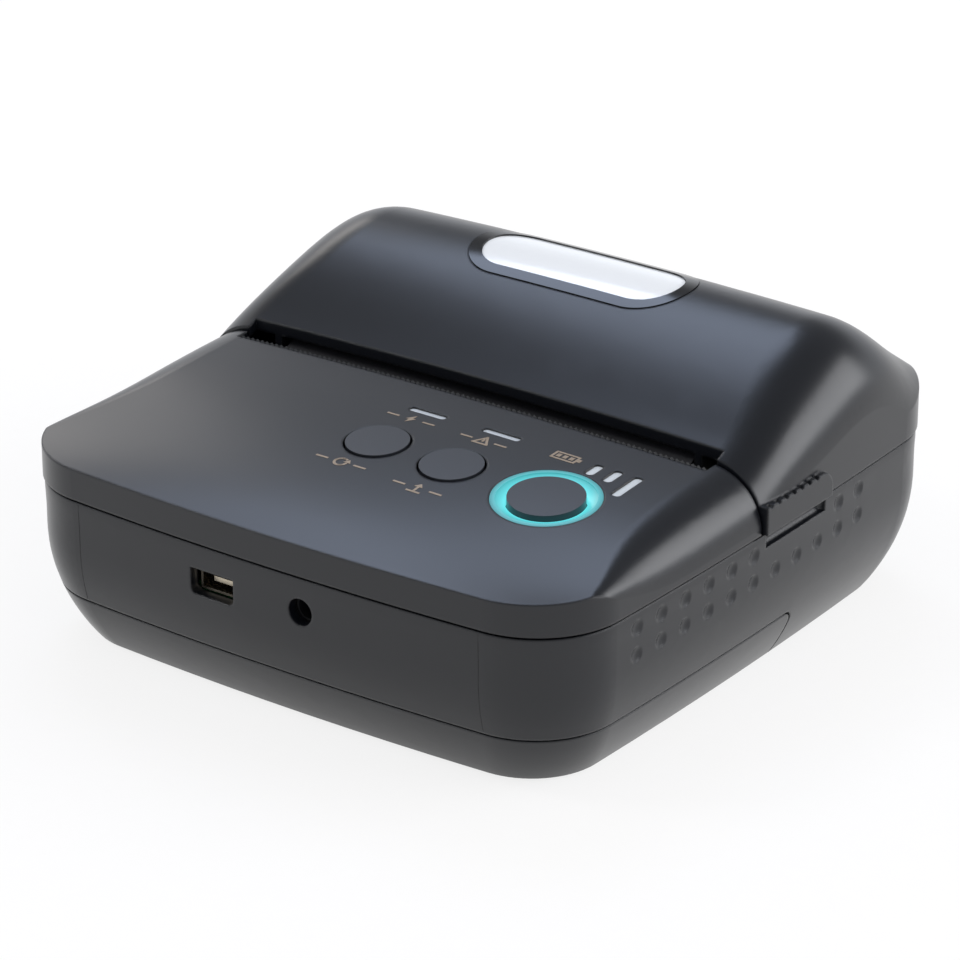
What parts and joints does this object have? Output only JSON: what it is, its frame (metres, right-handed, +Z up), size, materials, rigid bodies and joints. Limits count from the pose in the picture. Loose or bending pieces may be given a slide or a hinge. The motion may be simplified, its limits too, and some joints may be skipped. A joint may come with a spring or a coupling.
{
  "type": "thermal receipt printer",
  "caption": "Portable receipt printer with a hinged paper cover, oval window, lit power key, toothed paper exit and dimpled sides.",
  "frame": {"origin": "under the middle of the whole printer, on the surface that the feet stand on", "axes": "+X to the printer's right, +Y to its back where the cover is hinged, +Z up"},
  "size_m": [0.1118, 0.117, 0.0506],
  "materials": {
    "casing": "satin black moulded casing",
    "gloss_black": "polished black",
    "key_black": "fine matte black",
    "inner_black": "matte black moulding",
    "lens": "clear polished plastic",
    "ring": "frosted light guide, lit teal",
    "light_guide": "frosted light guide",
    "rubber": "soft feet",
    "platen_rubber": "ground roller rubber",
    "steel": "plated steel",
    "plated_shell": "plated sheet",
    "aluminium": "plain aluminium",
    "head_ceramic": "glazed print strip",
    "brass": "cut brass",
    "gear_plastic": "natural gear plastic",
    "motor_case": "dark coated case",
    "board": "green coated board",
    "switch_case": "grey switch",
    "lamp": "clear lamp",
    "chip": "moulded chip",
    "pack_wrap": "shrink wrap",
    "paper": "white thermal paper",
    "core": "rolled card"
  },
  "bodies": {
    "housing": {"base_housing": "casing", "front_cover": "casing", "feet_rear": "rubber", "power_ring": "ring", "indicator_windows": "light_guide", "level_windows": "light_guide", "tear_bar": "inner_black", "hinge_pins": "steel", "paper_bay": "inner_black", "paper_sensor": "inner_black", "mech_frame": "steel", "head_shaft": "steel", "head_springs": "steel", "motor": "motor_case", "gear_pin": "steel", "cover_switch": "inner_black", "key_board": "board", "key_switches": "switch_case", "indicator_leds": "lamp", "main_board": "board", "main_chips": "chip", "usb_socket": "plated_shell", "dc_socket": "inner_black", "battery_pack": "pack_wrap", "battery_contacts": "inner_black", "case_screws": "steel", "frame_screws": "steel", "main_board_screws": "steel", "key_board_screws": "steel"},
    "cover": {"rear_cover": "casing", "window_rim": "gloss_black", "window_lens": "lens", "platen_bushings": "gear_plastic"},
    "platen": {"platen_shaft": "steel", "platen_rubber": "platen_rubber", "platen_gear": "gear_plastic"},
    "reduction": {"reduction_gear": "gear_plastic"},
    "rotor": {"motor_shaft": "steel", "motor_pinion": "brass"},
    "head": {"thermal_head": "head_ceramic", "heat_sink": "aluminium"},
    "mode": {"mode_key": "key_black"},
    "feed": {"feed_key": "key_black"},
    "power": {"power_key": "key_black"},
    "door": {"battery_door": "casing", "feet_front": "rubber"},
    "roll": {"paper_roll": "paper", "roll_core": "core"}
  },
  "joints": [
    {"name": "cover_hinge", "type": "hinge", "parent": "housing", "child": "cover", "pos_m": [0, 0.0559, 0.0275], "axis": [-1, 0, 0], "range_deg": [0, 100]},
    {"name": "platen_spin", "type": "hinge", "parent": "cover", "child": "platen", "pos_m": [0, 0.0005, 0.0309], "axis": [1, 0, 0], "continuous": true},
    {"name": "reduction_spin", "type": "hinge", "parent": "housing", "child": "reduction", "pos_m": [0, -0.00178, 0.02219], "axis": [1, 0, 0], "continuous": true},
    {"name": "motor_spin", "type": "hinge", "parent": "housing", "child": "rotor", "pos_m": [0, -0.01477, 0.02174], "axis": [1, 0, 0], "continuous": true},
    {"name": "head_pivot", "type": "hinge", "parent": "housing", "child": "head", "pos_m": [0, -0.0068, 0.0178], "axis": [1, 0, 0], "range_deg": [0, 2], "stiffness_Nm_per_rad": 2, "springref_deg": -2.86},
    {"name": "mode_press", "type": "slide", "parent": "housing", "child": "mode", "axis": [0, 0, -1], "range_m": [0, 0.0005], "stiffness_N_per_m": 800, "springref_m": -0.0004},
    {"name": "feed_press", "type": "slide", "parent": "housing", "child": "feed", "axis": [0, 0, -1], "range_m": [0, 0.0005], "stiffness_N_per_m": 800, "springref_m": -0.0004},
    {"name": "power_press", "type": "slide", "parent": "housing", "child": "power", "axis": [0, 0, -1], "range_m": [0, 0.0005], "stiffness_N_per_m": 800, "springref_m": -0.0004},
    {"name": "door_slide", "type": "slide", "parent": "housing", "child": "door", "axis": [0, -1, 0], "range_m": [0, 0.07]},
    {"name": "roll_spin", "type": "hinge", "parent": "housing", "child": "roll", "pos_m": [0, 0.0265, 0.0259], "axis": [1, 0, 0], "continuous": true}
  ],
  "couplings": [
    {"joint": "reduction_spin", "follows": "platen_spin", "ratio": -1.5714},
    {"joint": "motor_spin", "follows": "platen_spin", "ratio": 5.2381}
  ]
}
